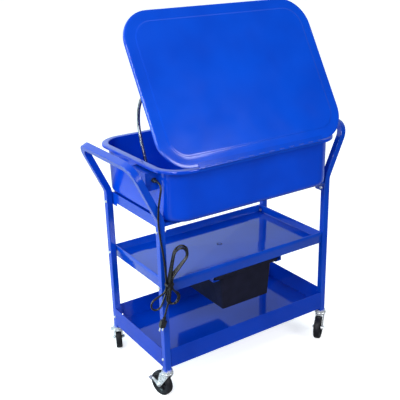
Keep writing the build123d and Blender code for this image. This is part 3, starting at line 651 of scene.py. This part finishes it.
def caster(corner, sx, sy, turn):
    a = radians(turn)
    trail_way = Vector((cos(a), sin(a), 0))
    axle_way = Vector((-sin(a), cos(a), 0))
    stem = Vector((sx * POST[0], sy * POST[1], 0)) * MM
    hub = stem + trail_way * TRAIL * MM + Vector((0, 0, RADIUS * MM))
    swivel, wheel = "swivel_" + corner, "wheel_" + corner

    # wheel: tread, side walls and ribbed hub
    tyre = [(33.0, 9.2), (34.5, 11.6), (38, 12.7), (43.0, 12.6), (45.6, 11.2), (47.0, 8.4), (47.42, 4.5),
            (47.46, 0.0)]
    tyre += [(r, -h) for r, h in tyre[-2::-1]]
    tyre += [(31.0, -8.6), (31.0, 8.6)]
    across = axes(hub, trail_way, axle_way)
    verts, faces = loft(lathe([(r * MM, h * MM) for r, h in tyre], across, 64), loop=True)
    build("tyre_" + corner, verts, faces, tread, wheel, 50, ["caster_wheel_" + corner])
    disc = [(4.1, 12.6), (8.6, 12.6), (10.4, 11.8), (11.4, 7.0), (14.0, 5.0), (24.0, 4.6), (28.0, 6.0),
            (30.2, 9.0), (31.2, 9.3), (32.8, 9.0), (33.2, 8.2)]
    disc += [(r, -h) for r, h in reversed(disc)]
    parts = [loft(lathe([(r * MM, h * MM) for r, h in disc], across, 48), loop=True)]
    for k in range(6):
        angle = 2 * pi * k / 6
        rib = across @ Matrix.Rotation(angle, 4, "Z")
        outline = [(9.5, -1.2), (30.5, -1.0), (30.5, 1.0), (9.5, 1.2)]
        for way in (1, -1):
            lift = Matrix.Translation((0, 0, 4.2 * MM if way > 0 else -8.6 * MM))
            parts.append(plate([(x * MM, y * MM) for x, y in outline], 4.4 * MM, rib @ lift))
    verts, faces = merge(*parts)
    build("hub_" + corner, verts, faces, hub_plastic, wheel, 40)

    # swivel head: double race, domed crown
    head = axes(stem, (1, 0, 0), (0, 0, 1))
    crown = [(5.2, 99.2), (16.0, 99.2), (19.2, 100.0), (21.0, 102.0), (22.6, 103.0), (23.0, 104.4),
             (22.8, 106.4), (21.8, 107.6), (18.0, 108.2), (5.2, 108.3)]
    verts, faces = loft(lathe([(r * MM, z * MM) for r, z in crown], head, 56), loop=True)
    build("race_" + corner, verts, faces, zinc, swivel, 40, ["caster_fork_" + corner])

    # fork legs with turned edges
    legs = []
    outline = tangent_hull([(-13.0, 97.0, 3.2), (20.0, 97.0, 4.5), (31.0, 47.5, 10.0)])
    for way in (1, -1):
        place = axes(stem + axle_way * (way * 14.3 * MM), trail_way, axle_way * -1)
        flat = [(x * MM, z * MM) for x, z in outline]
        shift = Matrix.Translation((0, 0, -2.4 * MM if way > 0 else 0.0))
        legs.append(plate(flat, 2.4 * MM, place @ shift, [
            [(x * MM, z * MM) for x, z in circle(31.0, 47.5, 4.15, 24)]]))
    saddle = []
    for step in range(9):
        t = -1 + 2 * step / 8
        drop = 3.2 * abs(t) ** 3
        saddle.append((t * 16.4, 99.4 - drop))
    rows = [(-15.0, 0.80), (-8.0, 1.0), (8.0, 1.0), (20.0, 1.0), (25.5, 0.84)]
    sv, sf = [], []
    for lower in (0.0, 2.2):
        for x, wide in rows:
            for y, z in saddle:
                sv.append(stem + trail_way * x * MM + axle_way * (y * wide) * MM
                          + Vector((0, 0, (z - lower) * MM)))
    w = len(saddle)
    h = len(rows)
    for i in range(h - 1):
        for j in range(w - 1):
            p = i * w + j
            sf.append((p, p + 1, p + w + 1, p + w))
            q = p + w * h
            sf.append((q + w, q + w + 1, q + 1, q))
    border = list(range(w)) + [i * w + w - 1 for i in range(1, h)]
    border += [(h - 1) * w + j for j in range(w - 2, -1, -1)] + [i * w for i in range(h - 2, 0, -1)]
    for k, p in enumerate(border):
        q = border[(k + 1) % len(border)]
        sf.append((p, q, q + w * h, p + w * h))
    verts, faces = merge(*legs, (sv, sf))
    bevelled(build("fork_" + corner, verts, faces, zinc, swivel, 40), 0.0007)

    # axle bolt: hex head, threaded end with lock nut, washers
    parts = []
    shaft = axes(hub, trail_way, axle_way)
    for way in (1, -1):
        start = way * 16.8
        washer = [(4.2, start), (7.6, start), (7.8, start + way * 0.5), (7.6, start + way * 1.1),
                  (4.2, start + way * 1.1)]
        parts.append(loft(lathe([(r * MM, h * MM) for r, h in washer], shaft, 32), loop=True))
        nut = []
        for flat_r, h0 in ((5.9, 1.1), (6.5, 1.5), (6.5, 4.8), (5.9, 5.5), (4.2, 6.1)):
            ring = []
            for k in range(24):
                a = k * pi / 12
                r = flat_r / cos(((a + pi / 6) % (pi / 3)) - pi / 6)
                ring.append(shaft @ Vector((r * MM * cos(a), r * MM * sin(a), (start + way * h0) * MM)))
            nut.append(ring)
        parts.append(loft(nut, close_start=True, close_end=True))
        tip = [(0.01, start + way * 8.2), (3.2, start + way * 8.2), (3.9, start + way * 7.4),
               (3.9, start + way * 5.0)]
        parts.append(loft(lathe([(r * MM, h * MM) for r, h in tip], shaft, 24), close_start=True,
                          close_end=True))
    rod = [(3.95, -17.5), (3.95, 17.5)]
    parts.append(loft(lathe([(r * MM, h * MM) for r, h in rod], shaft, 24), close_start=True,
                      close_end=True))
    verts, faces = merge(*parts)
    build("axle_bolt_" + corner, verts, faces, zinc, swivel, 35,
          ["caster_axle_" + corner])


for corner, (sx, sy, turn) in turns.items():
    caster(corner, sx, sy, turn)
    soften("brake_lever_" + corner, zinc, 0.0005)

# ================================================================= power cord
route = [
    (379.0, 187.0, 842.0), (379.0, 200.0, 842.0), (379.5, 211.0, 835.0), (380.5, 216.0, 822.0),
    (385.0, 215.5, 799.0), (393.0, 214.5, 757.0), (396.0, 213.0, 704.0), (390.0, 213.0, 645.0),
    (381.0, 212.5, 585.0), (378.0, 213.5, 540.0), (378.4, 218.0, 506.0),
]
LANE = 7.4
WAIST = Vector((371.0, 226.0, 478.0))
WAIST_HALF = 9.0


def bend(heading_start, heading_end, radius):
    """Steps (along, across) round an arc that starts at one heading and ends at another, degrees."""
    swing = heading_end - heading_start
    sense = 1 if swing > 0 else -1
    count = max(2, round(abs(swing) / 19.0))
    a0 = radians(heading_start)
    steps = []
    for i in range(count + 1):
        a = radians(heading_start + swing * i / count)
        steps.append((radius * sense * (sin(a) - sin(a0)), radius * sense * (cos(a0) - cos(a))))
    return steps


def lobe(start, end, way, lean, spread, tip, neck, sense):
    """One loop of the hank: out of the tie, round its tip and back, through (x, y) lanes.

    way is 1 above the tie and -1 below it. Headings are degrees from straight out, towards +X.
    """
    first = lean - sense * spread
    last = lean + sense * (180 + spread)
    arcs = [bend(0.0, first, neck), bend(first, last, tip), bend(last, sense * 180.0, neck)]
    ends = [sum(part[-1][k] for part in arcs) for k in (0, 1)]
    # the two straight runs close the loop
    across_gap, along_gap = (end[0] - start[0]) * LANE - ends[1], -ends[0]
    a, b = radians(first), radians(last)
    spin = cos(a) * sin(b) - cos(b) * sin(a)
    run_out = (along_gap * sin(b) - across_gap * cos(b)) / spin
    run_back = (across_gap * cos(a) - along_gap * sin(a)) / spin
    flat = []
    here = (0.0, 0.0)
    for part, run, heading in ((arcs[0], run_out, a), (arcs[1], run_back, b), (arcs[2], 0.0, 0.0)):
        flat += [(here[0] + u, here[1] + v) for u, v in part]
        here = (flat[-1][0] + run * cos(heading), flat[-1][1] + run * sin(heading))
    made = []
    for i, (along, across) in enumerate(flat[1:-1]):
        t = (i + 1) / (len(flat) - 1)
        layer = start[1] + (end[1] - start[1]) * t * t * (3 - 2 * t)
        made.append((WAIST.x + start[0] * LANE + across, WAIST.y + layer * LANE,
                     WAIST.z + way * (WAIST_HALF + along)))
    return made


def through(lane, way):
    """Two points of one pass through the tie, up or down."""
    x, y = WAIST.x + lane[0] * LANE, WAIST.y + lane[1] * LANE
    return [(x, y, WAIST.z - way * WAIST_HALF), (x, y, WAIST.z + way * WAIST_HALF)]


# (x, y) lanes of the passes through the tie, and one loop between each pair:
# way, lean, spread, tip radius, neck radius, sense
passes = [(1, -1), (0, -1), (-1, -1), (-1, 0), (0, 0), (-1, 1), (0, 1)]
loops = [
    (-1, 49.0, 22.5, 21.5, 29.0, -1),
    (1, -33.5, 18.6, 30.0, 30.0, -1),
    (-1, -20.0, 29.0, 21.5, 28.0, 1),
    (1, -31.5, 16.5, 26.0, 30.0, 1),
    (-1, -9.0, 27.0, 21.5, 28.0, -1),
    (1, -29.0, 17.2, 28.0, 30.0, 1),
]
route += through(passes[0], -1)
for i, (way, lean, spread, tip, neck, sense) in enumerate(loops):
    route += lobe(passes[i], passes[i + 1], way, lean, spread, tip, neck, sense)
    route += through(passes[i + 1], -way)
route += [(374.0, 234.5, 452.0), (380.0, 236.0, 428.0), (384.5, 232.5, 404.0), (388.0, 225.0, 379.0),
          (394.0, 222.0, 352.0)]

curve = bpy.data.curves.new("power_cord", "CURVE")
curve.dimensions = "3D"
curve.bevel_depth = 3.5 * MM
curve.bevel_resolution = 5
curve.resolution_u = 8
curve.use_fill_caps = True
spline = curve.splines.new("NURBS")
spline.points.add(len(route) - 1)
for point, place in zip(spline.points, route):
    point.co = (*(Vector(place) * MM), 1)
spline.order_u = 3
spline.use_endpoint_u = True
curve.materials.append(vinyl)
cord = bpy.data.objects.new("power_cord", curve)
scene.collection.objects.link(cord)
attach(cord, "frame")
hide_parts("cord_drop", "cord_hank", "cord_tail")


def line_length(curve_object):
    """Length of a curve's own line, read from the spline with no bevel."""
    bare = curve_object.data.copy()
    bare.bevel_depth = 0
    probe = bpy.data.objects.new("probe", bare)
    mesh = bpy.data.meshes.new_from_object(probe)
    points = [v.co.copy() for v in mesh.vertices]
    total = sum((points[i + 1] - points[i]).length for i in range(len(points) - 1))
    bpy.data.objects.remove(probe)
    return total


cord_length = line_length(cord)
